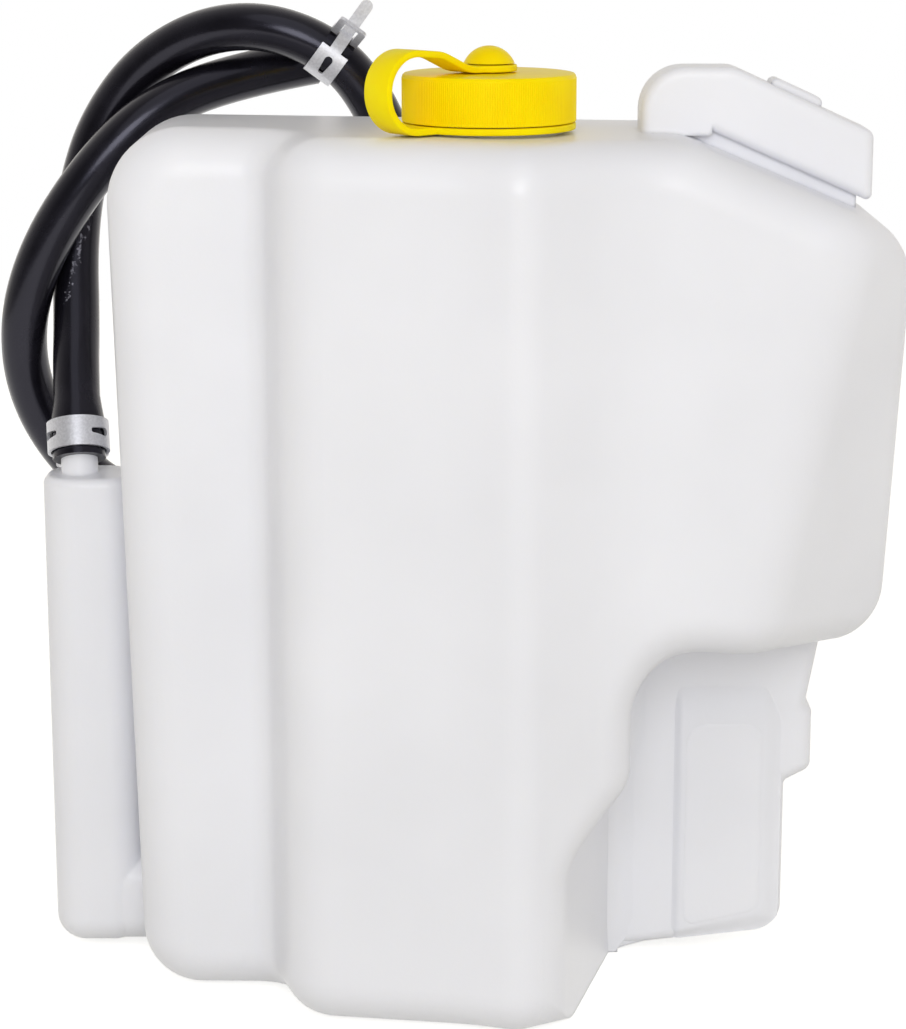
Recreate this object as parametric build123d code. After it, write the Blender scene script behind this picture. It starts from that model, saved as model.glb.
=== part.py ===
from build123d import *
import os
from math import asin, cos, pi, radians, sin, tan

# Coolant expansion tank: a blow-moulded tank with a tethered screw cap and a looped overflow hose.
# Millimetres. X to the right, Y away from the viewer, Z up. The floor is Z = 0.

# Moulded tank
LEG_SIDE_X = -122.8             # left side of the siphon leg
LOBE_SIDE_X = 119.6             # right side of the lobe
TANK_D = 93.0                   # front ridge to flat back
TANK_H = 244.0                  # floor to top at the filler neck
TOP_RISE = 1.6                  # rise of the top to its left end
TOP_DROP = 0.6                  # drop of the top to the start of the slope
WALL = 2.5                      # moulded wall
BACK_HALF_D = 24.5              # depth of the mould half behind the parting line
FRONT_R = 13.0                  # rounding of the front mass
BACK_R = 6.0                    # rounding of the back edges

LEG_W = 23.5                    # siphon leg on the left
LEG_D = 23.0
LEG_H = 143.0
LEG_Z = 1.5                     # underside of the leg above the floor
LEG_R = 9.0
LEG_TOP_R = 2.5
LEG_WELD = 2.5                  # overlap of the leg and the main wall
PASSAGE_H = 27.0                # low passage from the leg into the left column
PASSAGE_L = 34.0

COLUMN_TOP_R = 21.0             # outline corners of the main chamber, seen from the front
COLUMN_FOOT_R = 17.0
COLUMN_LEAN = 6.0               # inward lean of the left column's side at its foot
LOBE_FOOT_R = 16.0
LOBE_TOP_R = 21.0
KNEE_R = 25.0
INSIDE_R = 18.0
WAIST_X = 44.0                  # right side of the middle column below the lobe
LOBE_Z = 104.0                  # underside of the right lobe
LOBE_BEND_X = 67.5              # where that underside starts to drop to the right
LOBE_BEND_R = 50.0
LOBE_DROP = 8.0
LOBE_LEAN = 2.0                 # inward lean of the lobe's right side at its foot
SLOPE_X = 57.0                  # where the flat top starts to slope down
SLOPE_DEG = 23.2

LEFT_SETBACK = 36.0             # left column's front behind the ridge
LEFT_TURN = 2.0
STEP_X = -56.0                  # step between the left and middle columns
STEP_RUN = 7.5
STEP_FRONT = 12.5               # middle column's left end behind the ridge
STEP_IN_R = 7.0
STEP_OUT_R = 16.0
STRIP_X = -1.6                  # start of the strip that runs up to the ridge
STRIP_SETBACK = 5.3
STRIP_R = 60.0
RIDGE_X = 13.8
RIDGE_R = 12.0
VALLEY_X = 41.0                 # soft valley between middle column and lobe
VALLEY_SETBACK = 16.0
VALLEY_R = 45.0
LOBE_TURN = 1.0

FLANK_TOP = (100.5, 16.5, 212.0)     # points on the lobe's slanted flank: X, setback from ridge, Z
FLANK_FOOT = (81.5, 16.5, 122.0)
FLANK_EDGE = (121.0, 51.0, 165.0)
FLANK_R = 22.0

NICHE_FRONT = (26.0, 10.5)      # leaning wall at the middle column's foot: X, setback from ridge
NICHE_BACK_X = 41.3
NICHE_TOP_Z = 47.0
NICHE_RISE_DEG = 49.0
NICHE_R = 12.0
NICHE_OUT_R = 14.0

FOOT_X = 92.2                   # right side of the recessed right foot
FOOT_Z = 1.4                    # its underside at the middle column, above the floor
FOOT_RISE = 5.6                 # rise of that underside to its right end
FOOT_R = 8.0
FOOT_EDGE_R = 4.0
FOOT_LAP = 14.0                 # how far the foot runs in behind the column and the lobe
LUG_X = 99.8                    # edge lug on the right foot
LUG_Z = 56.5
LUG_STEP = 4.0
LUG_H = 17.5
LUG_NOTCH = 2.0
PAD_X = 62.0                    # shallow raised pad on the right foot
PAD_Z = 72.0
PAD_MARGIN = 6.0
PAD_RISE = 1.5

# Mount rail with a T-shaped section, on the sloped top
RAIL_X = 46.0
RAIL_END_X = 109.2
RAIL_RISE = 17.0
RAIL_KNEE_X = 71.0
RAIL_DROP_DEG = 24.5
RAIL_Y = 11.0
RAIL_HEAD_W = 18.0
RAIL_STEM_W = 10.0
RAIL_GROOVE = 3.5
RAIL_NOSE_R = 12.0
RAIL_EDGE_R = 2.5
BUMP_X = 88.0
BUMP_L = 15.0
BUMP_W = 10.0
BUMP_RISE = 2.1

# Filler neck, cap and gasket
NECK_X = 4.9
NECK_Y = 0.0
NECK_OD = 39.0
NECK_BORE = 33.0
NECK_H = 12.3
CAP_OD = 47.0
CAP_TOP = 2.0
CAP_RUN = 0.9                   # gap between the neck and the cap's skirt
CAP_EDGE_R = 1.5
CAP_BOSS_D = 13.0
CAP_BOSS_H = 5.0
GASKET_T = 1.6
GASKET_W = 3.4

# Tether: ring, looped band and eye, and the button that holds the eye
STRAP_T = 1.8
STRAP_W = 9.5
STRAP_RING_W = 3.2
STRAP_REACH = 40.0              # outside of the loop from the neck's axis
STRAP_LOOP_R = 10.6
STRAP_DEG = 222.0               # direction of the loop, turned from +X
EYE_D = 15.0
BUTTON_D = 13.7
BUTTON_H = 4.6
STEM_D = 6.0
STEM_GRIP = 4.2
GAP = 0.35                      # clearance between separate pieces
RUN_GAP = 0.05                  # running clearance of the button's stem

# Hose, nipple and spring clamps
HOSE_OD = 13.5
HOSE_BORE = 8.5
END_OD = 15.4                   # hose end stretched over the nipple
END_L = 12.5
END_TAPER = 6.0
NIPPLE_FIT = 0.1
NIPPLE_SIDE = 1.6               # left of the leg's middle
NIPPLE_BORE = 6.4
NIPPLE_L = 15.0
NIPPLE_OD = 10.6
NIPPLE_BARE = 3.6               # nipple left bare under the hose
LEAN_BACK_DEG = 26.0
LEAN_LEFT_DEG = 5.0
HOSE_FIRST_RUN = 23.0
HOSE_POINTS = [
    (-115.4, 57.5, 183.1), (-116.6, 67.5, 204.2), (-114.6, 72.0, 222.6), (-108.4, 73.5, 240.2),
    (-95.2, 70.5, 257.3), (-76.9, 64.0, 267.8), (-56.5, 59.0, 269.2), (-37.0, 59.0, 260.3),
    (-24.8, 60.5, 242.2), (-17.1, 61.0, 217.1), (-16.9, 59.0, 189.4), (-25.8, 57.0, 160.4),
    (-44.8, 55.0, 138.5), (-69.7, 55.0, 126.3), (-95.3, 58.0, 126.3), (-115.5, 63.5, 135.8),
    (-129.3, 62.2, 156.5), (-132.1, 56.5, 180.3), (-125.1, 54.0, 204.2), (-109.8, 54.0, 227.5),
    (-92.0, 59.0, 245.2), (-69.4, 68.5, 254.0), (-45.7, 76.5, 257.8),
]
BAND_T = 0.9
BAND_W = 8.8
BAND_GAP = 0.4
TONGUE_W = 3.7
SHOULDER_DEG = 55.0             # where the band narrows to its tongue, from the middle of the overlap
WINDOW_DEG = 48.0               # far end of the window that the tongue passes through
TANG_DEG = 15.0                 # where tongue and window end turn out
TANG_L = 9.5
TONGUE_LEAN = 2.0
FRAME_LEAN = 26.0
FRAME_BAR = 1.6
DROP_R = 1.35                   # teardrop cut-outs at both sides of the band
DROP_TIP_R = 0.7
DROP_L = 6.2
LOWER_DROP_DEG = 125.0
UPPER_DROP_DEG = 94.0
LOWER_CLAMP_AT = 6.4            # along the hose from its end on the nipple
UPPER_CLAMP_AT = 186.0

# Values that follow from the sizes above
FRONT_Y = -TANK_D / 2
BACK_Y = TANK_D / 2
PART_Y = BACK_Y - BACK_HALF_D
COLUMN_X = LEG_SIDE_X + LEG_W
LEG_X = LEG_SIDE_X + LEG_W / 2
LEG_Y = BACK_Y - 0.8 - LEG_D / 2
FAR = 30.0
SLOPE = tan(radians(SLOPE_DEG))
RAIL_TOP_Z = TANK_H + RAIL_RISE
RING_Z = TANK_H + TOP_DROP + GAP
SKIRT_Z = RING_Z + STRAP_T + GAP
NECK_TOP = TANK_H + NECK_H
CAP_UNDER = NECK_TOP + GASKET_T
CAP_TOP_Z = CAP_UNDER + CAP_TOP
EYE_Z = CAP_TOP_Z + GAP
DOME_Z = EYE_Z + STRAP_T + GAP
NECK_AT = Pos(NECK_X, NECK_Y, 0)
AXIS = Vector(-tan(radians(LEAN_LEFT_DEG)), tan(radians(LEAN_BACK_DEG)), 1).normalized()
NIPPLE_AT = Vector(LEG_X - NIPPLE_SIDE, LEG_Y, LEG_H)


def rounded_face(corners):
    """Face with straight sides; each corner is x, y and the radius that rounds it."""
    face = Sketch() + make_face(Polyline(*[(x, y) for x, y, r in corners], close=True))
    for x, y, r in corners:
        if r > 0:
            face = fillet(face.vertices().sort_by_distance((x, y, 0))[0], r)
    return face


def slab(face, y_from, y_to):
    """Front-view face made solid between two depths."""
    return extrude(Plane.XZ.offset(-y_to) * face, y_to - y_from)


def slope_z(x):
    """Height of the sloped top at x."""
    return TANK_H - TOP_DROP - (x - SLOPE_X) * SLOPE


def rim_edges(solid, lean):
    """Edges where the faces that lean to the front by more than the given sine meet the rest."""
    front = [f for f in solid.faces() if f.normal_at(f.center()).Y < -lean]
    seen = {}
    for f in front:
        for e in f.edges():
            key = tuple(round(v, 3) for v in (*(e @ 0.5), e.length))
            seen.setdefault(key, []).append(e)
    return [edges[0] for edges in seen.values() if len(edges) == 1]


def soften(edges, radius):
    """Round edges by the radius, or by the nearest one below or above it that they take."""
    for share in (1.0, 0.98, 1.02, 0.95, 0.92, 0.88, 0.84, 0.8):
        try:
            return fillet(edges, radius * share)
        except ValueError:
            print("rounding", round(radius * share, 2), "not taken")
    raise ValueError("no rounding found")


def chamber_outline(inset):
    """Main chamber seen from the front, without leg and right foot."""
    face = rounded_face([
        (COLUMN_X + COLUMN_LEAN, 0, COLUMN_FOOT_R),
        (WAIST_X, 0, 0),
        (WAIST_X, LOBE_Z, INSIDE_R),
        (LOBE_BEND_X, LOBE_Z, LOBE_BEND_R),
        (LOBE_SIDE_X - LOBE_LEAN, LOBE_Z - LOBE_DROP, LOBE_FOOT_R),
        (LOBE_SIDE_X, slope_z(LOBE_SIDE_X), LOBE_TOP_R),
        (SLOPE_X, TANK_H - TOP_DROP, KNEE_R),
        (COLUMN_X, TANK_H + TOP_RISE, COLUMN_TOP_R),
    ])
    return offset(face, -inset) if inset else face


def facet_plan(inset):
    """Plan of the faceted front, from the left column over the ridge to the lobe."""
    lobe_y = FRONT_Y + VALLEY_SETBACK
    face = rounded_face([
        (LEG_SIDE_X - FAR, FRONT_Y + LEFT_SETBACK + LEFT_TURN, 0),
        (STEP_X, FRONT_Y + LEFT_SETBACK, STEP_IN_R),
        (STEP_X + STEP_RUN, FRONT_Y + STEP_FRONT, STEP_OUT_R),
        (STRIP_X, FRONT_Y + STRIP_SETBACK, STRIP_R),
        (RIDGE_X, FRONT_Y, RIDGE_R),
        (VALLEY_X, lobe_y, VALLEY_R),
        (LOBE_SIDE_X + FAR, lobe_y + LOBE_TURN, 0),
        (LOBE_SIDE_X + FAR, BACK_Y + FAR, 0),
        (LEG_SIDE_X - FAR, BACK_Y + FAR, 0),
    ])
    return offset(face, -inset) if inset else face


def niche(inset):
    """Wedge that leaves the leaning wall at the middle column's foot."""
    x0, y0 = NICHE_FRONT[0], FRONT_Y + NICHE_FRONT[1]
    run = (NICHE_BACK_X - x0) / (PART_Y - y0)
    plan = rounded_face([
        (x0 - run * FAR, y0 - FAR, 0),
        (x0 + run * (PART_Y - y0 + FAR), PART_Y + FAR, 0),
        (WAIST_X + FAR, PART_Y + FAR, 0),
        (WAIST_X + FAR, y0 - FAR, 0),
    ])
    if inset:
        plan = offset(plan, inset, kind=Kind.INTERSECTION)
    wedge = Pos(0, 0, -FAR) * extrude(plan, LOBE_Z + FAR)
    rise = radians(NICHE_RISE_DEG)
    top = Plane((x0, 0, NICHE_TOP_Z + inset / cos(rise)), x_dir=(0, 1, 0), z_dir=(-sin(rise), 0, cos(rise)))
    wedge = split(wedge, bisect_by=top, keep=Keep.BOTTOM)
    corner = wedge.edges().sort_by_distance((x0, y0, NICHE_TOP_Z))[0]
    return fillet(corner, NICHE_R + inset)


def front_half(inset):
    """Front of the main chamber, rounded all round its front edge."""
    reach = PART_Y + (1.0 if inset else 0.0)
    body = slab(chamber_outline(inset), FRONT_Y - FAR, reach)
    body = body & (Pos(0, 0, -FAR) * extrude(facet_plan(inset), TANK_H + 2 * FAR))
    top, foot, edge = [Vector(x, FRONT_Y + s, z) for x, s, z in (FLANK_TOP, FLANK_FOOT, FLANK_EDGE)]
    out = (edge - top).cross(foot - top).normalized()
    if out.Y > 0:
        out = out * -1
    body = split(body, bisect_by=Plane(top - out * inset, z_dir=out), keep=Keep.BOTTOM)
    body = body - niche(inset)
    crest = (WAIST_X, 0, NICHE_TOP_Z + WAIST_X - NICHE_FRONT[0])
    outer = body.edges().filter_by(Axis.Y).sort_by_distance(crest)[0]
    body = fillet(outer, NICHE_OUT_R - inset)
    middle = (top + foot) * 0.5
    body = fillet(body.edges().sort_by_distance(middle)[0], FLANK_R)
    return soften(rim_edges(body, 0.3), FRONT_R - inset)


def foot_outline(inset):
    """Recessed right foot with its edge lug, seen from the front."""
    notch_z = LUG_Z + LUG_H + LUG_NOTCH
    face = rounded_face([
        (WAIST_X - FOOT_LAP, FOOT_Z, 0),
        (WAIST_X, FOOT_Z, 0),
        (FOOT_X, FOOT_Z + FOOT_RISE, FOOT_R),
        (FOOT_X, LUG_Z - LUG_STEP, 2),
        (LUG_X, LUG_Z, 3),
        (LUG_X, LUG_Z + LUG_H, 1),
        (LUG_X - LUG_NOTCH, notch_z, 0.6),
        (LUG_X + LUG_NOTCH, LOBE_Z - 6, 0),
        (LUG_X + LUG_NOTCH, LOBE_Z + FOOT_LAP, 0),
        (WAIST_X - FOOT_LAP, LOBE_Z + FOOT_LAP, 0),
    ])
    return offset(face, -inset) if inset else face


def right_foot():
    """Outside of the right foot, with its front edges eased and the raised pad."""
    foot = slab(foot_outline(0), PART_Y, BACK_Y)
    outer = [
        e for e in foot.edges().group_by(Axis.Y)[0]
        if WAIST_X < (e @ 0.5).X and (e @ 0.5).Z < LUG_Z - LUG_STEP - 3
    ]
    foot = fillet(outer, FOOT_EDGE_R)
    pad = rounded_face([
        (PAD_X, FOOT_Z + PAD_MARGIN, 4),
        (FOOT_X - PAD_MARGIN, FOOT_Z + FOOT_RISE + PAD_MARGIN, 5),
        (FOOT_X - PAD_MARGIN, PAD_Z, 5),
        (PAD_X, PAD_Z, 7),
    ])
    plate = slab(pad, PART_Y - PAD_RISE, PART_Y + 1)
    return foot + fillet(plate.edges().group_by(Axis.Y)[0], PAD_RISE * 0.9)


def back_half(inset):
    """Back of the main chamber up to the flat back."""
    lap = 0.5 if inset else 0.0
    body = slab(chamber_outline(inset), PART_Y - lap, BACK_Y - inset)
    if inset:
        body = body + slab(foot_outline(inset), PART_Y + inset, BACK_Y - inset)
    else:
        body = body + right_foot()
    return soften(body.edges().group_by(Axis.Y)[-1], BACK_R - inset)


def siphon_leg(inset):
    """Upright leg beside the left column, open to it through a low cross passage."""
    w, d = LEG_W + LEG_WELD - 2 * inset, LEG_D - 2 * inset
    leg = extrude(RectangleRounded(w, d, LEG_R - inset), LEG_H - LEG_Z - 2 * inset)
    leg = Pos(LEG_X + LEG_WELD / 2, LEG_Y, LEG_Z + inset) * leg
    leg = fillet(leg.edges().group_by(Axis.Z)[0], LEG_R - 1 - inset)
    leg = fillet(leg.edges().group_by(Axis.Z)[-1], LEG_TOP_R if not inset else 1.0)
    pipe = RectangleRounded(d - 1, PASSAGE_H - 2 * inset, LEG_R - inset)
    pipe = Plane((LEG_X, LEG_Y, LEG_Z + PASSAGE_H / 2), x_dir=(0, 1, 0), z_dir=(1, 0, 0)) * pipe
    return leg + extrude(pipe, PASSAGE_L)


def mount_rail():
    """T-section rail on the sloped top, with a rounded nose and a locking bump."""
    drop = tan(radians(RAIL_DROP_DEG))
    end_z = RAIL_TOP_Z - (RAIL_END_X - RAIL_KNEE_X) * drop
    under = slope_z(RAIL_END_X) + RAIL_GROOVE
    nose_x = SLOPE_X + RAIL_GROOVE / SLOPE
    head = slab(rounded_face([
        (RAIL_X, TANK_H - WALL / 2, 0),
        (RAIL_X, RAIL_TOP_Z, RAIL_NOSE_R),
        (RAIL_KNEE_X, RAIL_TOP_Z, 8),
        (RAIL_END_X, end_z, 3),
        (RAIL_END_X, under, 1.5),
        (nose_x, TANK_H, 0),
        (nose_x, TANK_H - WALL / 2, 0),
    ]), RAIL_Y - RAIL_HEAD_W / 2, RAIL_Y + RAIL_HEAD_W / 2)
    ends = head.edges().group_by(Axis.Y)
    middles = [(e, e @ 0.5) for e in ends[0] + ends[-1]]
    top = [e for e, m in middles if m.Z > under + 1 and m.Z > slope_z(m.X) + 6]
    head = fillet(top, RAIL_EDGE_R)
    stem = slab(rounded_face([
        (RAIL_X + 4, TANK_H - WALL / 2, 0),
        (RAIL_X + 4, TANK_H + 6, 0),
        (RAIL_END_X - 4, slope_z(RAIL_END_X - 4) + 6, 0),
        (RAIL_END_X - 4, slope_z(RAIL_END_X - 4) - WALL / 2, 0),
        (SLOPE_X, TANK_H - WALL / 2, 0),
    ]), RAIL_Y - RAIL_STEM_W / 2, RAIL_Y + RAIL_STEM_W / 2)
    bump_z = RAIL_TOP_Z - (BUMP_X - RAIL_KNEE_X) * drop
    bump = Box(BUMP_L, BUMP_W, 2 * BUMP_RISE)
    bump = fillet(bump.edges().group_by(Axis.Z)[-1], BUMP_RISE * 0.8)
    return head + stem + Pos(BUMP_X, RAIL_Y, bump_z) * Rot(0, RAIL_DROP_DEG, 0) * bump


def along(direction, point):
    """Plane through a point whose normal is the given direction."""
    return Plane(point, z_dir=direction)


def make_tank():
    """Hollow tank with leg, foot, rail, neck and nipple in one moulding."""
    body = front_half(0) + back_half(0) + siphon_leg(0) + mount_rail()
    neck = Cylinder(NECK_OD / 2, NECK_H + 1, align=(Align.CENTER, Align.CENTER, Align.MIN))
    body = body + NECK_AT * Pos(0, 0, TANK_H - 1) * neck
    seat = along(AXIS, NIPPLE_AT - AXIS * 4)
    body = body + seat * extrude(Circle(NIPPLE_OD / 2), NIPPLE_L + 4)
    inside = front_half(WALL) + back_half(WALL) + siphon_leg(WALL)
    bore = Cylinder(NECK_BORE / 2, NECK_H + 2 * WALL, align=(Align.CENTER, Align.CENTER, Align.MIN))
    inside = inside + NECK_AT * Pos(0, 0, TANK_H - 2 * WALL + 1) * bore
    inside = inside + along(AXIS, NIPPLE_AT - AXIS * 6) * extrude(Circle(NIPPLE_BORE / 2), NIPPLE_L + 8)
    return body - inside


def turned(points):
    """Solid of revolution about the neck's axis from radius and height points."""
    return NECK_AT * revolve(Plane.XZ * make_face(Polyline(*points, close=True)), Axis.Z)


def make_cap():
    """Screw cap: skirt, flat top and an inner boss for the button."""
    outer, inner, boss = CAP_OD / 2, NECK_OD / 2 + CAP_RUN, CAP_BOSS_D / 2
    cap = turned([
        (0, CAP_UNDER - CAP_BOSS_H), (boss, CAP_UNDER - CAP_BOSS_H), (boss, CAP_UNDER), (inner, CAP_UNDER),
        (inner, SKIRT_Z), (outer, SKIRT_Z), (outer, CAP_TOP_Z), (0, CAP_TOP_Z),
    ])
    cap = fillet(cap.edges().group_by(Axis.Z)[-1], CAP_EDGE_R)
    socket = Cylinder(STEM_D / 2 + RUN_GAP, STEM_GRIP + GAP, align=(Align.CENTER, Align.CENTER, Align.MAX))
    return cap - NECK_AT * Pos(0, 0, CAP_TOP_Z) * socket


def make_gasket():
    """Flat ring between the neck's rim and the cap's top."""
    outer = NECK_OD / 2
    low = NECK_TOP + GAP
    return turned([(outer - GASKET_W, low), (outer, low), (outer, CAP_UNDER), (outer - GASKET_W, CAP_UNDER)])


def make_strap():
    """Ring round the neck, band looped outside the cap and eye on the cap's top."""
    inner = NECK_OD / 2 + 2 * GAP
    ring = turned([
        (inner, RING_Z), (inner + STRAP_RING_W, RING_Z),
        (inner + STRAP_RING_W, RING_Z + STRAP_T), (inner, RING_Z + STRAP_T),
    ])
    half = STRAP_T / 2
    low, eye = RING_Z + half, EYE_Z + half
    reach = STRAP_REACH - half
    route = FilletPolyline(
        (inner + half, low), (reach, low), (reach, low + 2 * STRAP_LOOP_R), (CAP_OD / 2 - 3, eye + 4.4),
        (EYE_D / 2 + 3, eye), (EYE_D / 2 - 3, eye),
        radius=[STRAP_LOOP_R * 0.96, STRAP_LOOP_R * 0.92, 12, 12],
    )
    band = extrude(Plane.XZ * trace(route, STRAP_T), STRAP_W / 2, both=True)
    band = NECK_AT * Rot(0, 0, STRAP_DEG) * band
    hole = STEM_D / 2 + GAP
    disc = turned([(hole, EYE_Z), (EYE_D / 2, EYE_Z), (EYE_D / 2, EYE_Z + STRAP_T), (hole, EYE_Z + STRAP_T)])
    return ring + band + disc


def make_button():
    """Dome-headed button with a stem through the strap's eye into the cap."""
    r = BUTTON_D / 2
    ball = (r * r + BUTTON_H * BUTTON_H) / (2 * BUTTON_H)
    half_turn = asin(r / ball) / 2
    crown = (ball * sin(half_turn), DOME_Z + BUTTON_H - ball + ball * cos(half_turn))
    tip = CAP_TOP_Z - STEM_GRIP
    sides = Polyline((0, DOME_Z + BUTTON_H), (0, tip), (STEM_D / 2, tip), (STEM_D / 2, DOME_Z), (r, DOME_Z))
    profile = make_face(sides + ThreePointArc((r, DOME_Z), crown, (0, DOME_Z + BUTTON_H)))
    return NECK_AT * revolve(Plane.XZ * profile, Axis.Z)


def hose_route():
    """Centre line of the hose: straight runs joined by arcs."""
    start = NIPPLE_AT + AXIS * (NIPPLE_BARE + GAP)
    points = [start, start + AXIS * HOSE_FIRST_RUN] + [Vector(*p) for p in HOSE_POINTS]
    radii = []
    for a, b, c in zip(points, points[1:], points[2:]):
        turn = radians((b - a).get_angle(c - b))
        radii.append(0.45 * min((b - a).length, (c - b).length) / tan(turn / 2))
    print("hose radii", [round(r) for r in radii])
    return FilletPolyline(*points, radius=radii)


def make_hose(route):
    """Rubber tube along the route, stretched over the nipple at its start."""
    start = along(route % 0, route @ 0)
    tube = sweep(start * (Circle(HOSE_OD / 2) - Circle(HOSE_BORE / 2)), path=route)
    bore = NIPPLE_OD / 2 + NIPPLE_FIT
    tube = tube - start * extrude(Circle(bore), NIPPLE_L - NIPPLE_BARE + GAP)
    end = Polyline((bore, 0), (END_OD / 2, 0), (END_OD / 2, END_L), (HOSE_OD / 2 - 0.2, END_L + END_TAPER),
                   (bore, END_L), close=True)
    return tube + start * revolve(Plane.XZ * make_face(end), Axis.Z)


def sector(start, end, reach, height):
    """Wedge about the local axis between two angles in degrees."""
    turns = [radians(start), radians((start + end) / 2), radians(end)]
    corners = [(reach * cos(t), reach * sin(t)) for t in turns]
    return extrude(make_face(Polyline((0, 0), *corners, close=True)), height / 2, both=True)


def teardrop(side, deg, reach):
    """Radial cutter for a teardrop hole whose big end points to the tangs."""
    half, turn = DROP_L / 2, radians(side * deg)
    out = Vector(cos(turn), sin(turn), 0)
    hole = rounded_face([
        (-half, -DROP_R, DROP_R * 0.85), (half, -DROP_TIP_R, DROP_TIP_R * 0.85),
        (half, DROP_TIP_R, DROP_TIP_R * 0.85), (-half, DROP_R, DROP_R * 0.85),
    ])
    face = Plane((0, 0, 0), x_dir=Vector(-sin(turn), cos(turn), 0) * side, z_dir=out)
    return extrude(face * hole, reach, dir=out)


def make_clamp(route, at, over, toward, drop_deg):
    """Spring band clamp: its tongue passes through its window end, and both ends turn out as tangs."""
    axis = route.tangent_at(at, position_mode=PositionMode.LENGTH) * -1
    across = Vector(*toward)
    across = across - axis * across.dot(axis)
    frame = Plane(route.position_at(at, position_mode=PositionMode.LENGTH), x_dir=across, z_dir=axis)
    inner = over / 2 + BAND_GAP
    outer = inner + BAND_T
    window_w = TONGUE_W + 2 * BAND_GAP
    reach = 2 * outer
    band = extrude(Circle(outer) - Circle(inner), BAND_W / 2, both=True)
    band = band - sector(TANG_DEG, WINDOW_DEG, reach, window_w)
    slit = sector(-TANG_DEG - 1, TANG_DEG + 1, reach, BAND_GAP)
    strip = sector(-SHOULDER_DEG, -TANG_DEG, reach, BAND_W)
    for side in (1, -1):
        band = band - Pos(0, 0, side * (TONGUE_W + BAND_GAP) / 2) * slit
        band = band - Pos(0, 0, side * (TONGUE_W + BAND_W) / 2) * strip
        band = band - teardrop(side, drop_deg, reach)
    tab = Pos(TANG_L / 2, 0) * SlotOverall(TANG_L + TONGUE_W, TONGUE_W)
    bars = Pos(TANG_L / 2, 0) * RectangleRounded(TANG_L + 2, BAND_W, 1.2)
    bars = bars - Pos(TANG_L / 2 - FRAME_BAR, 0) * Rectangle(TANG_L + 2, window_w)
    for flat, turn, lean in ((tab, TANG_DEG, TONGUE_LEAN), (bars, -TANG_DEG, -FRAME_LEAN)):
        tang = extrude(Plane.XZ * flat, BAND_T / 2, both=True)
        band = band + Rot(0, 0, turn) * Pos(inner + BAND_T / 2, 0, 0) * Rot(0, 0, lean) * tang
    tube = extrude(Circle(inner), 2 * BAND_W, both=True)
    return frame * (band - tube)


ROUTE = hose_route()
PARTS = {
    "tank": make_tank(),
    "filler_cap": make_cap(),
    "cap_gasket": make_gasket(),
    "tether_strap": make_strap(),
    "tether_button": make_button(),
    "overflow_hose": make_hose(ROUTE),
    "lower_hose_clamp": make_clamp(ROUTE, LOWER_CLAMP_AT, END_OD, (0, 1, 0), LOWER_DROP_DEG),
    "upper_hose_clamp": make_clamp(ROUTE, UPPER_CLAMP_AT, HOSE_OD, (0.52, -0.34, 0.77), UPPER_DROP_DEG),
}
MIDDLE = PARTS["tank"].bounding_box().center()
CENTRE = Pos(-MIDDLE.X, -MIDDLE.Y, 0)
print("moved by", round(-MIDDLE.X, 3), round(-MIDDLE.Y, 3))
os.makedirs("parts", exist_ok=True)
for name, shape in PARTS.items():
    shape = CENTRE * shape
    export_step(shape, f"parts/{name}.step")
    print(name, round(shape.volume), len(shape.solids()), shape.is_valid)
print("hose length", round(ROUTE.length, 1))
print("hose volume by section and length", round(ROUTE.length * pi * (HOSE_OD ** 2 - HOSE_BORE ** 2) / 4))
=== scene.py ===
import bmesh
import bpy
from math import cos, pi, radians, sin
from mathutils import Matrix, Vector


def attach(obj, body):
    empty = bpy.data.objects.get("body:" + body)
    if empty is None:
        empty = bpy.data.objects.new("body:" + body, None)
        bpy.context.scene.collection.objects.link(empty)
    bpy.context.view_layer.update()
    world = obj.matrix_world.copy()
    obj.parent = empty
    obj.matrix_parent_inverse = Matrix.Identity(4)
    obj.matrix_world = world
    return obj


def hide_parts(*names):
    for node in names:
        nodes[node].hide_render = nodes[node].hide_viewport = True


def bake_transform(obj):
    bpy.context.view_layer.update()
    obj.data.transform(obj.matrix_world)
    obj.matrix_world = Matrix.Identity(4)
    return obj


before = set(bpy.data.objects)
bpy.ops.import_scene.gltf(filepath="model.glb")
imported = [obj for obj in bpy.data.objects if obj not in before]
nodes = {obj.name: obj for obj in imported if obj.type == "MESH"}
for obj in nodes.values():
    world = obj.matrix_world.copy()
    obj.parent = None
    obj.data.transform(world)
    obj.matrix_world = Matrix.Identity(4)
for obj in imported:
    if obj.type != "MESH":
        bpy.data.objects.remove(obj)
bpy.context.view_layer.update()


# Tank: one blow-moulded shell of natural high-density polyethylene, about 2.5 mm thick.
# Siphon leg, filler neck, mount rail and hose nipple are moulded on in the same shot.
def linear(colour):
    """sRGB hex colour as linear red, green, blue and alpha."""
    parts = [int(colour[i:i + 2], 16) / 255 for i in (1, 3, 5)]
    return [c / 12.92 if c <= 0.04045 else ((c + 0.055) / 1.055) ** 2.4 for c in parts] + [1.0]


def add(tree, kind, sockets=None, **settings):
    """Shader node with its settings; sockets take a value or another node's output."""
    made = tree.nodes.new(kind)
    for key, value in settings.items():
        setattr(made, key, value)
    for key, value in (sockets or {}).items():
        if isinstance(value, bpy.types.NodeSocket):
            tree.links.new(value, made.inputs[key])
        else:
            made.inputs[key].default_value = value
    return made


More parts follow.
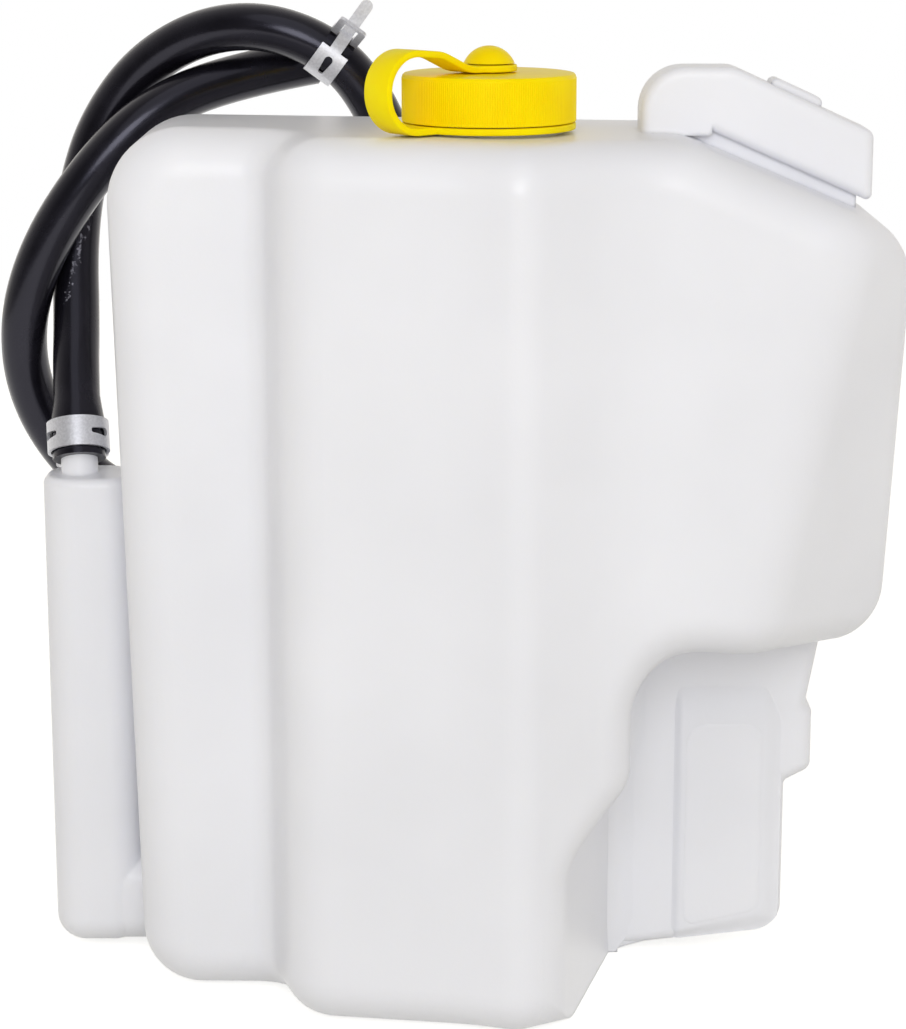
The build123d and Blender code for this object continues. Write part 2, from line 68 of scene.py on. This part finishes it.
# Natural polyethylene: milky, a little warm where it is thick, with a satin skin off the mould.
# The wall's thickness wanders over some centimetres, and the parison leaves faint upright draw lines.
polyethylene = bpy.data.materials.new("natural_polyethylene_blow_moulded")
polyethylene.use_nodes = True
tree = polyethylene.node_tree
skin = tree.nodes["Principled BSDF"]
place = add(tree, "ShaderNodeTexCoord").outputs["Object"]
wander = add(tree, "ShaderNodeTexNoise", {"Vector": place, "Scale": 1 / 0.055, "Detail": 2.0})
milk = add(tree, "ShaderNodeValToRGB", {"Fac": wander.outputs["Fac"]})
milk.color_ramp.elements[0].position = 0.3
milk.color_ramp.elements[0].color = linear("#EBECF1")
milk.color_ramp.elements[1].position = 0.7
milk.color_ramp.elements[1].color = linear("#F1F2F7")
upright = add(tree, "ShaderNodeMapping", {"Vector": place, "Scale": (1.0, 1.0, 0.02)})
draw = add(tree, "ShaderNodeTexNoise", {"Vector": upright.outputs["Vector"], "Scale": 1 / 0.004, "Detail": 3.0})
grain = add(tree, "ShaderNodeTexNoise", {"Vector": place, "Scale": 1 / 0.0012, "Detail": 2.0})
relief = add(tree, "ShaderNodeMath", {0: draw.outputs["Fac"], 1: grain.outputs["Fac"]}, operation="ADD")
bump = add(tree, "ShaderNodeBump", {"Height": relief.outputs["Value"], "Strength": 0.06, "Distance": 0.0004})
gloss = add(tree, "ShaderNodeMapRange", {"Value": grain.outputs["Fac"], "To Min": 0.30, "To Max": 0.42})
tree.links.new(milk.outputs["Color"], skin.inputs["Base Color"])
tree.links.new(gloss.outputs["Result"], skin.inputs["Roughness"])
tree.links.new(bump.outputs["Normal"], skin.inputs["Normal"])
skin.inputs["IOR"].default_value = 1.54
skin.inputs["Specular IOR Level"].default_value = 0.5
skin.inputs["Subsurface Weight"].default_value = 0.08
skin.inputs["Subsurface Radius"].default_value = (1.0, 0.9, 0.7)
skin.inputs["Subsurface Scale"].default_value = 0.002
# The small pieces below carry the skin on over the tank's own edges, so they have it as it is here.
carried_skin = polyethylene.copy()
carried_skin.name = "natural_polyethylene_blown_skin"
# Blown corners have no crisp edge: the tank's skin turns over some 2 mm at the rail, the leg and the lug.
turned = add(tree, "ShaderNodeBevel", {"Radius": 0.002}, samples=6)
tree.links.new(turned.outputs["Normal"], bump.inputs["Normal"])
nodes["tank"].data.materials.clear()
nodes["tank"].data.materials.append(polyethylene)


# Neck thread: one rounded ridge, a turn and a half at 4 mm pitch, moulded on the filler neck.
# It shows under the skirt once the cap is unscrewed.
NECK = Vector((0.006615, -0.000583, 0.0))
THREAD_R, THREAD_Z = 0.0193, 0.2478
THREAD_PITCH, THREAD_TURNS, THREAD_STEPS = 0.004, 1.5, 108
THREAD_PROFILE = [(0.0, 0.0), (0.0005, 0.0003), (0.0008, 0.0009), (0.0008, 0.0012), (0.0005, 0.0018), (0.0, 0.0021)]
bm = bmesh.new()
ridge = [bm.verts.new((THREAD_R + out, 0.0, THREAD_Z + up)) for out, up in THREAD_PROFILE]
loop = [bm.edges.new(pair) for pair in zip(ridge, ridge[1:] + ridge[:1])]
bmesh.ops.spin(bm, geom=ridge + loop, cent=(0, 0, 0), axis=(0, 0, 1), angle=2 * pi * THREAD_TURNS,
               dvec=(0, 0, THREAD_PITCH * THREAD_TURNS / THREAD_STEPS), steps=THREAD_STEPS, use_duplicate=False)
bmesh.ops.holes_fill(bm, edges=[e for e in bm.edges if e.is_boundary], sides=8)
bmesh.ops.recalc_face_normals(bm, faces=bm.faces)
bmesh.ops.translate(bm, verts=bm.verts, vec=NECK)
mesh = bpy.data.meshes.new("neck_thread")
bm.to_mesh(mesh)
bm.free()
mesh.shade_smooth()
mesh.set_sharp_from_angle(angle=radians(60))
thread = bpy.data.objects.new("neck_thread", mesh)
bpy.context.scene.collection.objects.link(thread)
mesh.materials.append(carried_skin)
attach(thread, "tank")


# Foot blend: the hollow corner where the blown wall runs from the middle column and the lobe's underside into the
# recessed right foot. It is the same skin as the tank, drawn with the 7 mm radius that the parison takes there.
FOOT_FACE_Y = 0.021417
CORNER_R, CORNER_SINK = 0.0070, 0.0005
WAIST_X, WAIST_Z, WAIST_R = 0.063715, 0.0860, 0.018
corner_line = [
    ((0.0420, 0.0003), (1, 0), 0.0030, 0.0010), ((0.0424, 0.0040), (1, 0), 0.0052, 0.0018),
    ((0.0429, 0.0110), (1, 0), CORNER_R, 0.0026), ((0.0429, 0.0600), (1, 0), CORNER_R, 0.0026),
    ((0.0450, 0.0660), (0.98, -0.2), CORNER_R, 0.0012), ((WAIST_X - WAIST_R, 0.0720), (1, 0), CORNER_R, CORNER_SINK),
    ((WAIST_X - WAIST_R, WAIST_Z), (1, 0), CORNER_R, CORNER_SINK),
]
for k in range(1, 13):
    turn = radians(7.5 * k)
    at = (WAIST_X - WAIST_R * cos(turn), WAIST_Z + WAIST_R * sin(turn))
    corner_line.append((at, (cos(turn), -sin(turn)), CORNER_R, CORNER_SINK))
corner_line += [
    ((0.0700, 0.1040), (0, -1), CORNER_R, CORNER_SINK), ((0.0800, 0.1026), (-0.1, -0.99), CORNER_R, CORNER_SINK),
    ((0.1010, 0.0992), (-0.158, -0.987), CORNER_R, CORNER_SINK),
]


def loft(rings):
    """Closed skin over rings with as many vertices each."""
    for low, high in zip(rings, rings[1:]):
        for corners in zip(low, low[1:] + low[:1], high[1:] + high[:1], high):
            bm.faces.new(corners)
    bm.faces.new(rings[0])
    bm.faces.new(rings[-1])


# Each place on the line has its point, the way out of the corner, the corner's radius, and how far the skin sinks
# into the wall beside it.
TUCK = 0.0003
bm = bmesh.new()
rings = []
for (x, z), (out_x, out_z), wide, sink in corner_line:
    hollow = [(wide - (wide + sink) * sin(radians(9 * k)), wide - wide * cos(radians(9 * k))) for k in range(11)]
    hollow = [(wide, -TUCK)] + hollow + [(-sink - 0.0004, wide), (-sink - 0.0004, -TUCK)]
    rings.append([bm.verts.new((x + out_x * out, FOOT_FACE_Y - up, z + out_z * out)) for out, up in hollow])
loft(rings)

# Under the foot, the column's heel runs out along the underside instead of ending in a square step.
# Its front edge is eased, and drawn back towards its thin end.
HEEL_X, HEEL_TOP, HEEL_SLANT = 0.0425, 0.0045, 0.18
HEEL_LINE = [
    (HEEL_X, 0.0030), (HEEL_X, 0.0001), (0.0440, 0.0001), (0.0453, 0.0003), (0.0470, 0.0008), (0.0492, 0.0014),
    (0.0522, 0.0020), (0.0565, 0.0027), (0.0565, HEEL_TOP),
]
HEEL_EDGE = [(0.0, 0.0011), (0.0003, 0.0006), (0.0008, 0.0002), (0.0015, 0.0), (0.0220, 0.0)]
loft([[bm.verts.new((x, FOOT_FACE_Y + back + (x - HEEL_X) * HEEL_SLANT, min(z + up, HEEL_TOP))) for x, z in HEEL_LINE]
      for back, up in HEEL_EDGE])


def ease(value, low, high):
    """Smooth share of the way from low to high."""
    share = min(1.0, max(0.0, (value - low) / (high - low)))
    return share * share * (3 - 2 * share)


# The foot's shallow pad has one clear edge, on the left, and runs out softly to the other sides.
# The foot's underside climbs to the right and turns up round an 8 mm corner.
PAD_LEFT, PAD_RIGHT, PAD_TOP = 0.0612, 0.0928, 0.0840
PAD_RISE, PAD_SINK, PAD_SKIN = 0.00158, 0.0015, 0.0003
FOOT_SLOPE, FOOT_CORNER_X, FOOT_CORNER_R = 0.1162, 0.0859, 0.008
sheet = bmesh.ops.create_grid(bm, x_segments=48, y_segments=64, size=0.5)["verts"]
for v in sheet:
    x = PAD_LEFT + (PAD_RIGHT - PAD_LEFT) * (v.co.x + 0.5)
    past = min(0.0069, max(0.0, x - FOOT_CORNER_X))
    foot = 0.0014 + (x - 0.0457) * FOOT_SLOPE + FOOT_CORNER_R - (FOOT_CORNER_R ** 2 - past ** 2) ** 0.5 + 0.001
    pad_foot = 0.0080 + max(0.0, x - 0.0637) * 0.2314
    z = foot + (PAD_TOP - foot) * max(0.0, v.co.y + 0.5) ** 1.6
    keep = ease(x, PAD_LEFT, 0.0636) * (1 - ease(z, 0.0715, PAD_TOP))
    edge = min(1 - ease(x, 0.0872, PAD_RIGHT), ease(z, foot, pad_foot))
    v.co = (x, FOOT_FACE_Y + 0.00012 - PAD_RISE * keep + PAD_SINK * (1 - edge), z)
swell = list(dict.fromkeys(f for v in sheet for f in v.link_faces))
bmesh.ops.recalc_face_normals(bm, faces=bm.faces)
if swell[0].normal.y > 0:
    bmesh.ops.reverse_faces(bm, faces=swell)
bmesh.ops.solidify(bm, geom=swell, thickness=PAD_SKIN)
mesh = bpy.data.meshes.new("foot_blend")
bm.to_mesh(mesh)
bm.free()
mesh.shade_smooth()
mesh.set_sharp_from_angle(angle=radians(50))
blend = bpy.data.objects.new("foot_blend", mesh)
bpy.context.scene.collection.objects.link(blend)
mesh.materials.append(carried_skin)
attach(blend, "tank")


# Filler cap: injection-moulded polypropylene screw cap, with fine upright ribs round its skirt for grip.
# It screws on the neck and presses the gasket on the rim.
cap_profile = [
    (0.0, 0.25535), (0.00305, 0.25535), (0.00305, 0.2599), (0.0220, 0.2599), (0.02287, 0.25972),
    (0.02328, 0.25925), (0.0234, 0.2587), (0.0234, 0.2472), (0.0233, 0.2471), (0.0206, 0.2471), (0.0204, 0.2473),
    (0.0204, 0.2579), (0.0065, 0.2579), (0.0065, 0.2529), (0.0, 0.2529),
]
RIBS, RIB_SLOPE, RIB_RISE = 230, 0.00005, 0.00009
bm = bmesh.new()
chain = [bm.verts.new((r, 0.0, z)) for r, z in cap_profile]
outline = [bm.edges.new(pair) for pair in zip(chain, chain[1:])]
bmesh.ops.spin(bm, geom=chain + outline, cent=(0, 0, 0), axis=(0, 0, 1), angle=2 * pi, steps=2 * RIBS,
               use_merge=True, use_duplicate=False)
bmesh.ops.remove_doubles(bm, verts=bm.verts, dist=1e-6)
bmesh.ops.recalc_face_normals(bm, faces=bm.faces)
skirt = [f for f in bm.faces if f.calc_center_median().xy.length > 0.02338 and abs(f.normal.z) < 0.01]
step = 2 * pi / (2 * RIBS)
raised = [f for f in skirt
          if round(Vector((1, 0)).angle_signed(f.calc_center_median().xy) / step - 0.5) % 2 == 0]
bmesh.ops.inset_individual(bm, faces=raised, thickness=RIB_SLOPE, depth=RIB_RISE, use_even_offset=True)
bmesh.ops.translate(bm, verts=bm.verts, vec=NECK)
mesh = bpy.data.meshes.new("screw_cap")
bm.to_mesh(mesh)
bm.free()
mesh.shade_smooth()
mesh.set_sharp_from_angle(angle=radians(35))
cap = bpy.data.objects.new("screw_cap", mesh)
bpy.context.scene.collection.objects.link(cap)

# Coloured polypropylene: saturated yellow, satin, with a little light carried inside.
yellow = bpy.data.materials.new("yellow_polypropylene_moulded")
yellow.use_nodes = True
tree = yellow.node_tree
skin = tree.nodes["Principled BSDF"]
place = add(tree, "ShaderNodeTexCoord").outputs["Object"]
cloud = add(tree, "ShaderNodeTexNoise", {"Vector": place, "Scale": 1 / 0.012, "Detail": 2.0})
tint = add(tree, "ShaderNodeValToRGB", {"Fac": cloud.outputs["Fac"]})
tint.color_ramp.elements[0].position = 0.3
tint.color_ramp.elements[0].color = linear("#FBDA02")
tint.color_ramp.elements[1].position = 0.7
tint.color_ramp.elements[1].color = linear("#FFE204")
pores = add(tree, "ShaderNodeTexNoise", {"Vector": place, "Scale": 1 / 0.0006, "Detail": 2.0})
bump = add(tree, "ShaderNodeBump", {"Height": pores.outputs["Fac"], "Strength": 0.08, "Distance": 0.0002})
gloss = add(tree, "ShaderNodeMapRange", {"Value": pores.outputs["Fac"], "To Min": 0.34, "To Max": 0.46})
tree.links.new(tint.outputs["Color"], skin.inputs["Base Color"])
tree.links.new(gloss.outputs["Result"], skin.inputs["Roughness"])
tree.links.new(bump.outputs["Normal"], skin.inputs["Normal"])
skin.inputs["IOR"].default_value = 1.49
skin.inputs["Specular IOR Level"].default_value = 0.2
skin.inputs["Specular Tint"].default_value = linear("#FFE070")
skin.inputs["Subsurface Weight"].default_value = 0.3
skin.inputs["Subsurface Radius"].default_value = (1.0, 0.7, 0.1)
skin.inputs["Subsurface Scale"].default_value = 0.0015
mesh.materials.append(yellow)
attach(cap, "cap")
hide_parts("filler_cap")


# Cap gasket: flat ring of black nitrile rubber, pushed into the cap against its top.
# It is hidden while the cap is on.
nitrile = bpy.data.materials.new("black_nitrile_rubber")
nitrile.use_nodes = True
tree = nitrile.node_tree
skin = tree.nodes["Principled BSDF"]
place = add(tree, "ShaderNodeTexCoord").outputs["Object"]
bloom = add(tree, "ShaderNodeTexNoise", {"Vector": place, "Scale": 1 / 0.003, "Detail": 3.0})
soot = add(tree, "ShaderNodeValToRGB", {"Fac": bloom.outputs["Fac"]})
soot.color_ramp.elements[0].color = linear("#18181A")
soot.color_ramp.elements[1].color = linear("#2A2A2C")
bump = add(tree, "ShaderNodeBump", {"Height": bloom.outputs["Fac"], "Strength": 0.10, "Distance": 0.0002})
gloss = add(tree, "ShaderNodeMapRange", {"Value": bloom.outputs["Fac"], "To Min": 0.55, "To Max": 0.70})
tree.links.new(soot.outputs["Color"], skin.inputs["Base Color"])
tree.links.new(gloss.outputs["Result"], skin.inputs["Roughness"])
tree.links.new(bump.outputs["Normal"], skin.inputs["Normal"])
nodes["cap_gasket"].data.materials.clear()
nodes["cap_gasket"].data.materials.append(nitrile)


# Tether strap: one soft polyethylene moulding in the cap's colour. Its ring lies round the neck under the cap,
# its band loops outside the skirt, and its eye is trapped under the button. Edges are eased by the mould.
STRAP_EASE = 0.00035
bm = bmesh.new()
bm.from_mesh(nodes["tether_strap"].data)
bmesh.ops.remove_doubles(bm, verts=bm.verts, dist=2e-6)
bmesh.ops.dissolve_limit(bm, angle_limit=radians(1.0), verts=bm.verts, edges=bm.edges)
rims = [e for e in bm.edges if len(e.link_faces) == 2 and e.is_convex and e.calc_face_angle(0.0) > radians(50)]
bmesh.ops.bevel(bm, geom=rims, offset=STRAP_EASE, offset_type="OFFSET", segments=2, profile=0.5, affect="EDGES",
                clamp_overlap=True, material=-1)
mesh = bpy.data.meshes.new("looped_strap")
bm.to_mesh(mesh)
bm.free()
mesh.shade_smooth()
mesh.set_sharp_from_angle(angle=radians(35))
strap = bpy.data.objects.new("looped_strap", mesh)
bpy.context.scene.collection.objects.link(strap)

# Soft polyethylene: paler and a little greener than the cap, waxy, with hardly any gloss.
soft_yellow = bpy.data.materials.new("yellow_soft_polyethylene_moulded")
soft_yellow.use_nodes = True
tree = soft_yellow.node_tree
skin = tree.nodes["Principled BSDF"]
place = add(tree, "ShaderNodeTexCoord").outputs["Object"]
cloud = add(tree, "ShaderNodeTexNoise", {"Vector": place, "Scale": 1 / 0.009, "Detail": 2.0})
tint = add(tree, "ShaderNodeValToRGB", {"Fac": cloud.outputs["Fac"]})
tint.color_ramp.elements[0].position = 0.3
tint.color_ramp.elements[0].color = linear("#FADF03")
tint.color_ramp.elements[1].position = 0.7
tint.color_ramp.elements[1].color = linear("#FFE906")
pores = add(tree, "ShaderNodeTexNoise", {"Vector": place, "Scale": 1 / 0.0007, "Detail": 2.0})
bump = add(tree, "ShaderNodeBump", {"Height": pores.outputs["Fac"], "Strength": 0.06, "Distance": 0.0002})
gloss = add(tree, "ShaderNodeMapRange", {"Value": pores.outputs["Fac"], "To Min": 0.44, "To Max": 0.58})
tree.links.new(tint.outputs["Color"], skin.inputs["Base Color"])
tree.links.new(gloss.outputs["Result"], skin.inputs["Roughness"])
tree.links.new(bump.outputs["Normal"], skin.inputs["Normal"])
skin.inputs["IOR"].default_value = 1.51
skin.inputs["Specular IOR Level"].default_value = 0.2
skin.inputs["Specular Tint"].default_value = linear("#FFE070")
skin.inputs["Subsurface Weight"].default_value = 0.4
skin.inputs["Subsurface Radius"].default_value = (1.0, 0.75, 0.1)
skin.inputs["Subsurface Scale"].default_value = 0.0012
mesh.materials.append(soft_yellow)
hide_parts("tether_strap")
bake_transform(strap)


# Tether button: dome-headed stud, moulded in the cap's polypropylene.
# It is snapped through the strap's eye into the cap, and the cap turns under it.
nodes["tether_button"].data.materials.clear()
nodes["tether_button"].data.materials.append(yellow)


# Overflow hose: plain extruded rubber hose, 13.5 mm outside and 8.5 mm bore, with no braid.
# It is pushed over the nipple, where its end is stretched, and lies in a loose loop behind the tank.
HOSE_ROUTE = [
    (-0.1112, 0.0353, 0.1465), (-0.1130, 0.0454, 0.1671), (-0.1137, 0.0569, 0.1831),
    (-0.1149, 0.0669, 0.2042), (-0.1129, 0.0714, 0.2226), (-0.1067, 0.0729, 0.2402),
    (-0.0935, 0.0699, 0.2573), (-0.0752, 0.0634, 0.2678), (-0.0548, 0.0584, 0.2692),
    (-0.0353, 0.0584, 0.2603), (-0.0231, 0.0599, 0.2422), (-0.0154, 0.0604, 0.2171),
    (-0.0152, 0.0584, 0.1894), (-0.0241, 0.0564, 0.1604), (-0.0431, 0.0544, 0.1385),
    (-0.0680, 0.0544, 0.1263), (-0.0936, 0.0574, 0.1263), (-0.1138, 0.0629, 0.1358),
    (-0.1276, 0.0616, 0.1565), (-0.1304, 0.0559, 0.1803), (-0.1234, 0.0534, 0.2042),
    (-0.1081, 0.0534, 0.2275), (-0.0903, 0.0584, 0.2452), (-0.0677, 0.0679, 0.2540),
    (-0.0440, 0.0759, 0.2578),
]
HOSE_R, HOSE_WALL = 0.00675, 0.0025
END_R, END_BORE_R, END_L, END_TAPER = 0.0077, 0.0054, 0.0125, 0.006
line = bpy.data.curves.new("hose_line", "CURVE")
line.dimensions = "3D"
line.resolution_u = 10
run = line.splines.new("NURBS")
run.points.add(len(HOSE_ROUTE) - 1)
for point, at in zip(run.points, HOSE_ROUTE):
    point.co = (*at, 1.0)
run.order_u = 3
run.use_endpoint_u = True
guide = bpy.data.objects.new("hose_line", line)
bpy.context.scene.collection.objects.link(guide)
bpy.context.view_layer.update()
centre = bpy.data.meshes.new_from_object(guide)
hose_path = [v.co.copy() for v in centre.vertices]
line.bevel_depth = HOSE_R
line.bevel_resolution = 7
bpy.context.view_layer.update()
tube = bpy.data.meshes.new_from_object(guide.evaluated_get(bpy.context.evaluated_depsgraph_get()))
bpy.data.objects.remove(guide)
bm = bmesh.new()
bm.from_mesh(tube)
bmesh.ops.remove_doubles(bm, verts=bm.verts, dist=1e-6)
bmesh.ops.recalc_face_normals(bm, faces=bm.faces)
bmesh.ops.solidify(bm, geom=bm.faces, thickness=HOSE_WALL)
foot = Vector(HOSE_ROUTE[0])
lean = (Vector(HOSE_ROUTE[1]) - foot).normalized()
for v in bm.verts:
    rise = (v.co - foot).dot(lean)
    out = v.co - foot - lean * rise
    if -0.001 < rise < END_L + END_TAPER and out.length < 2 * HOSE_R:
        share = ease(END_L + END_TAPER - rise, 0.0, END_TAPER)
        wide = END_R - HOSE_R if out.length > HOSE_R - HOSE_WALL / 2 else END_BORE_R - HOSE_R + HOSE_WALL
        v.co += out.normalized() * wide * share
# The rubbed streak near the nipple winds from the strand's left side to its right, as shares of the hose's run.
SCUFF_FROM, SCUFF_MIDDLE, SCUFF_REACH = 0.06, 0.102, 0.045
scuff = bm.verts.layers.float.new("scuff")
for v in bm.verts:
    near = min(range(len(hose_path)), key=lambda i: (hose_path[i] - v.co).length_squared)
    share = near / len(hose_path)
    turn = radians(-24 + 68 * (share - SCUFF_FROM) / 0.075)
    along = (hose_path[min(near + 1, len(hose_path) - 1)] - hose_path[max(near - 1, 0)]).normalized()
    rubbed_side = Vector((sin(turn), -cos(turn), 0))
    rubbed_side = (rubbed_side - along * rubbed_side.dot(along)).normalized()
    facing = (v.co - hose_path[near]).normalized().dot(rubbed_side)
    here = min(1.0, max(0.0, 3 - 3 * abs(share - SCUFF_MIDDLE) / SCUFF_REACH))
    v[scuff] = here * min(1.0, max(0.0, (facing - 0.87) / 0.12))
mesh = bpy.data.meshes.new("rubber_hose")
bm.to_mesh(mesh)
bm.free()
mesh.shade_smooth()
mesh.set_sharp_from_angle(angle=radians(50))
hose = bpy.data.objects.new("rubber_hose", mesh)
bpy.context.scene.collection.objects.link(hose)

# Black synthetic rubber off the extruder: satin, with a bluish sheen where light grazes it and a dusty bloom.
rubber = bpy.data.materials.new("black_rubber_extruded")
rubber.use_nodes = True
tree = rubber.node_tree
skin = tree.nodes["Principled BSDF"]
place = add(tree, "ShaderNodeTexCoord").outputs["Object"]
dust = add(tree, "ShaderNodeTexNoise", {"Vector": place, "Scale": 1 / 0.009, "Detail": 4.0})
black = add(tree, "ShaderNodeValToRGB", {"Fac": dust.outputs["Fac"]})
black.color_ramp.elements[0].position = 0.3
black.color_ramp.elements[0].color = linear("#0C0B10")
black.color_ramp.elements[1].position = 0.75
black.color_ramp.elements[1].color = linear("#15141A")
fine = add(tree, "ShaderNodeTexNoise", {"Vector": place, "Scale": 1 / 0.0008, "Detail": 2.0})
bump = add(tree, "ShaderNodeBump", {"Height": fine.outputs["Fac"], "Strength": 0.10, "Distance": 0.0002})
gloss = add(tree, "ShaderNodeMapRange", {"Value": dust.outputs["Fac"], "To Min": 0.20, "To Max": 0.32})
# The streak is pale broken specks, drawn some tenths of a millimetre coarser than the real ones.
rubbed = add(tree, "ShaderNodeAttribute", attribute_name="scuff")
specks = add(tree, "ShaderNodeTexNoise", {"Vector": place, "Scale": 1 / 0.0014, "Detail": 3.0, "Roughness": 0.7})
worn = add(tree, "ShaderNodeMath", {0: rubbed.outputs["Fac"], 1: specks.outputs["Fac"]}, operation="MULTIPLY")
worn = add(tree, "ShaderNodeMapRange", {"Value": worn.outputs["Value"], "From Min": 0.49, "From Max": 0.60})
black = add(tree, "ShaderNodeMix", {"Factor": worn.outputs["Result"], "A": black.outputs["Color"],
                                    "B": linear("#8E8E98")}, data_type="RGBA")
tree.links.new(black.outputs["Result"], skin.inputs["Base Color"])
tree.links.new(gloss.outputs["Result"], skin.inputs["Roughness"])
tree.links.new(bump.outputs["Normal"], skin.inputs["Normal"])
skin.inputs["IOR"].default_value = 1.52
skin.inputs["Specular IOR Level"].default_value = 0.42
skin.inputs["Coat Weight"].default_value = 0.2
skin.inputs["Coat Roughness"].default_value = 0.14
skin.inputs["Specular Tint"].default_value = linear("#DCDAF6")
mesh.materials.append(rubber)
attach(hose, "tank")
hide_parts("overflow_hose")


# Hose clamps: constant-tension spring bands, stamped from spring steel, hardened and dip-spin coated.
# One grips the hose on the nipple, the other is parked near the hose's free end.
# Zinc-flake coat: silver grey, dull and a little mottled, like fine aluminium paint on steel.
zinc = bpy.data.materials.new("zinc_flake_coated_spring_steel")
zinc.use_nodes = True
tree = zinc.node_tree
skin = tree.nodes["Principled BSDF"]
place = add(tree, "ShaderNodeTexCoord").outputs["Object"]
flake = add(tree, "ShaderNodeTexNoise", {"Vector": place, "Scale": 1 / 0.0007, "Detail": 3.0})
silver = add(tree, "ShaderNodeValToRGB", {"Fac": flake.outputs["Fac"]})
silver.color_ramp.elements[0].position = 0.35
silver.color_ramp.elements[0].color = linear("#D6D7DD")
silver.color_ramp.elements[1].position = 0.7
silver.color_ramp.elements[1].color = linear("#E8E9EF")
bump = add(tree, "ShaderNodeBump", {"Height": flake.outputs["Fac"], "Strength": 0.05, "Distance": 0.0001})
gloss = add(tree, "ShaderNodeMapRange", {"Value": flake.outputs["Fac"], "To Min": 0.34, "To Max": 0.46})
tree.links.new(silver.outputs["Color"], skin.inputs["Base Color"])
tree.links.new(gloss.outputs["Result"], skin.inputs["Roughness"])
tree.links.new(bump.outputs["Normal"], skin.inputs["Normal"])
skin.inputs["Metallic"].default_value = 0.6
for name in ("lower_hose_clamp", "upper_hose_clamp"):
    nodes[name].data.materials.clear()
    nodes[name].data.materials.append(zinc)


# Studio: a white paper floor, dim warm light from all round, a broad cool panel in front and a lamp above.
# The floor and the room behind the object show white, and gloss sees the room on the camera's side dimmer.
FLOOR_HALF, FLOOR_GAP, FLOOR_LIFT = 1.3, 0.0002, 0.70
bm = bmesh.new()
bmesh.ops.create_grid(bm, x_segments=1, y_segments=1, size=FLOOR_HALF)
bmesh.ops.translate(bm, verts=bm.verts, vec=(0, 0, -FLOOR_GAP))
mesh = bpy.data.meshes.new("floor")
bm.to_mesh(mesh)
bm.free()
floor = bpy.data.objects.new("floor", mesh)
bpy.context.scene.collection.objects.link(floor)
paper = bpy.data.materials.new("white_paper_floor")
paper.use_nodes = True
tree = paper.node_tree
skin = tree.nodes["Principled BSDF"]
skin.inputs["Base Color"].default_value = linear("#D8D7D2")
skin.inputs["Roughness"].default_value = 1.0
skin.inputs["Specular IOR Level"].default_value = 0.0
skin.inputs["Emission Color"].default_value = linear("#FFFFFF")
ray = add(tree, "ShaderNodeLightPath")
seen = add(tree, "ShaderNodeMath", {0: ray.outputs["Is Camera Ray"], 1: ray.outputs["Is Transmission Ray"]},
           operation="MAXIMUM")
seen = add(tree, "ShaderNodeMath", {0: seen.outputs["Value"], 1: ray.outputs["Is Glossy Ray"]}, operation="MAXIMUM")
lift = add(tree, "ShaderNodeMath", {0: seen.outputs["Value"], 1: FLOOR_LIFT}, operation="MULTIPLY")
tree.links.new(lift.outputs["Value"], skin.inputs["Emission Strength"])
mesh.materials.append(paper)

world = bpy.data.worlds.new("white_studio")
bpy.context.scene.world = world
world.use_nodes = True
tree = world.node_tree
sky = tree.nodes["Background"]
ray = add(tree, "ShaderNodeLightPath")
seen = add(tree, "ShaderNodeMath", {0: ray.outputs["Is Camera Ray"], 1: ray.outputs["Is Transmission Ray"]},
           operation="MAXIMUM")
toward = add(tree, "ShaderNodeSeparateXYZ", {"Vector": add(tree, "ShaderNodeTexCoord").outputs["Generated"]})
room = add(tree, "ShaderNodeMapRange", {"Value": toward.outputs["Y"], "From Min": -0.6, "From Max": 0.8,
                                        "To Min": 0.1, "To Max": 1.0})
soft = add(tree, "ShaderNodeMapRange", {"Value": toward.outputs["Z"], "From Min": 0.0, "From Max": 1.0,
                                        "To Min": 1.12, "To Max": 0.12})
shiny = add(tree, "ShaderNodeMix", {"Factor": ray.outputs["Is Glossy Ray"], "A": soft.outputs["Result"],
                                    "B": room.outputs["Result"]})
level = add(tree, "ShaderNodeMix", {"Factor": seen.outputs["Value"], "A": shiny.outputs["Result"], "B": 1.0})
hue = add(tree, "ShaderNodeMix", {"Factor": seen.outputs["Value"], "A": linear("#FFFBF5"), "B": linear("#FFFFFF")},
          data_type="RGBA")
tree.links.new(hue.outputs["Result"], sky.inputs["Color"])
tree.links.new(level.outputs["Result"], sky.inputs["Strength"])

panel = bpy.data.lights.new("front_panel", "AREA")
panel.shape = "DISK"
panel.size = 0.75
panel.energy = 7.2
panel.color = linear("#FBFCFF")[:3]
panel_object = bpy.data.objects.new("front_panel", panel)
panel_object.location = (0.0, -1.5, 0.72)
panel_object.rotation_euler = Vector((0.0, 1.5, -0.56)).to_track_quat("-Z", "Y").to_euler()
bpy.context.scene.collection.objects.link(panel_object)
lamp = bpy.data.lights.new("top_lamp", "SUN")
lamp.energy = 0.4
lamp.color = linear("#FBFCFF")[:3]
lamp.angle = radians(50)
lamp_object = bpy.data.objects.new("top_lamp", lamp)
lamp_object.rotation_euler = Vector((-0.08, 0.62, -0.78)).to_track_quat("-Z", "Y").to_euler()
bpy.context.scene.collection.objects.link(lamp_object)

LOOK_DOWN_DEG = 13
camera = bpy.data.cameras.new("camera")
camera.lens = 97.96
camera.sensor_width = 36.0
camera.clip_start = 0.05
camera_object = bpy.data.objects.new("camera", camera)
camera_object.location = (-0.00305, -0.75835, 0.31319)
camera_object.rotation_euler = (radians(90 - LOOK_DOWN_DEG), 0, 0)
bpy.context.scene.collection.objects.link(camera_object)
bpy.context.scene.camera = camera_object
bpy.context.scene.view_settings.view_transform = "Standard"
